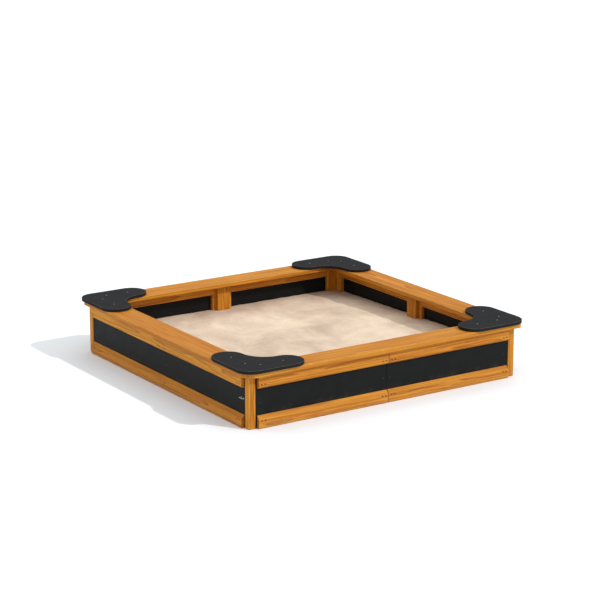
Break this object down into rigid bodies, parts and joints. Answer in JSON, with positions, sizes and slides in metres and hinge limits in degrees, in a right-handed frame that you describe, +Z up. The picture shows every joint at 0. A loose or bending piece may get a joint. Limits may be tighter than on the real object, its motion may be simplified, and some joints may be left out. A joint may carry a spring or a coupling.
{
  "type": "sandbox",
  "caption": "Square timber play sandbox with bevelled pine rails, dark infill panels, seat boards on every side, rounded corner seat plates and a bed of sand.",
  "frame": {"origin": "middle of the sandbox's square footprint, on the ground", "axes": "+Z up, +X to the right and +Y to the back; front is the side at -Y with a joint at its middle, left is the side at -X with the cleat"},
  "size_m": [2.124, 2.124, 0.378],
  "materials": {
    "pine": "planed pine with a golden brown glaze",
    "dark_panel": "black-grey compact board, satin",
    "dark_plate": "dark grey plastic board, finely textured",
    "blackened_steel": "black-coated outdoor screws",
    "stainless_steel": "plain stainless steel",
    "play_sand": "fine dry play sand"
  },
  "bodies": {
    "root": {"corner_post_front_left": "pine", "corner_post_front_right": "pine", "corner_post_back_right": "pine", "corner_post_back_left": "pine", "lower_rail_front_a": "pine", "lower_rail_front_b": "pine", "lower_rail_right": "pine", "lower_rail_back_a": "pine", "lower_rail_back_b": "pine", "lower_rail_left": "pine", "upper_rail_front_a": "pine", "upper_rail_front_b": "pine", "upper_rail_right": "pine", "upper_rail_back_a": "pine", "upper_rail_back_b": "pine", "upper_rail_left": "pine", "panel_front_a": "dark_panel", "panel_front_b": "dark_panel", "panel_right": "dark_panel", "panel_back_a": "dark_panel", "panel_back_b": "dark_panel", "panel_left": "dark_panel", "corner_upright_front_a": "pine", "corner_upright_front_b": "pine", "corner_upright_right_a": "pine", "corner_upright_right_b": "pine", "corner_upright_back_a": "pine", "corner_upright_back_b": "pine", "corner_upright_left_a": "pine", "corner_upright_left_b": "pine", "joint_board_front": "pine", "joint_board_right": "pine", "joint_board_back": "pine", "joint_board_left": "pine", "middle_post_front": "pine", "middle_post_right": "pine", "middle_post_back": "pine", "middle_post_left": "pine", "top_batten_front": "pine", "top_batten_right": "pine", "top_batten_back": "pine", "top_batten_left": "pine", "seat_board_front": "pine", "seat_board_right": "pine", "seat_board_back": "pine", "seat_board_left": "pine", "corner_plate_front_left": "dark_plate", "corner_plate_front_right": "dark_plate", "corner_plate_back_right": "dark_plate", "corner_plate_back_left": "dark_plate", "rail_screws": "blackened_steel", "panel_screws": "blackened_steel", "plate_screws": "stainless_steel", "seat_screws": "stainless_steel", "corner_angles": "stainless_steel", "angle_screws": "stainless_steel", "cover_cleat": "stainless_steel", "sand": "play_sand"}
  },
  "joints": []
}
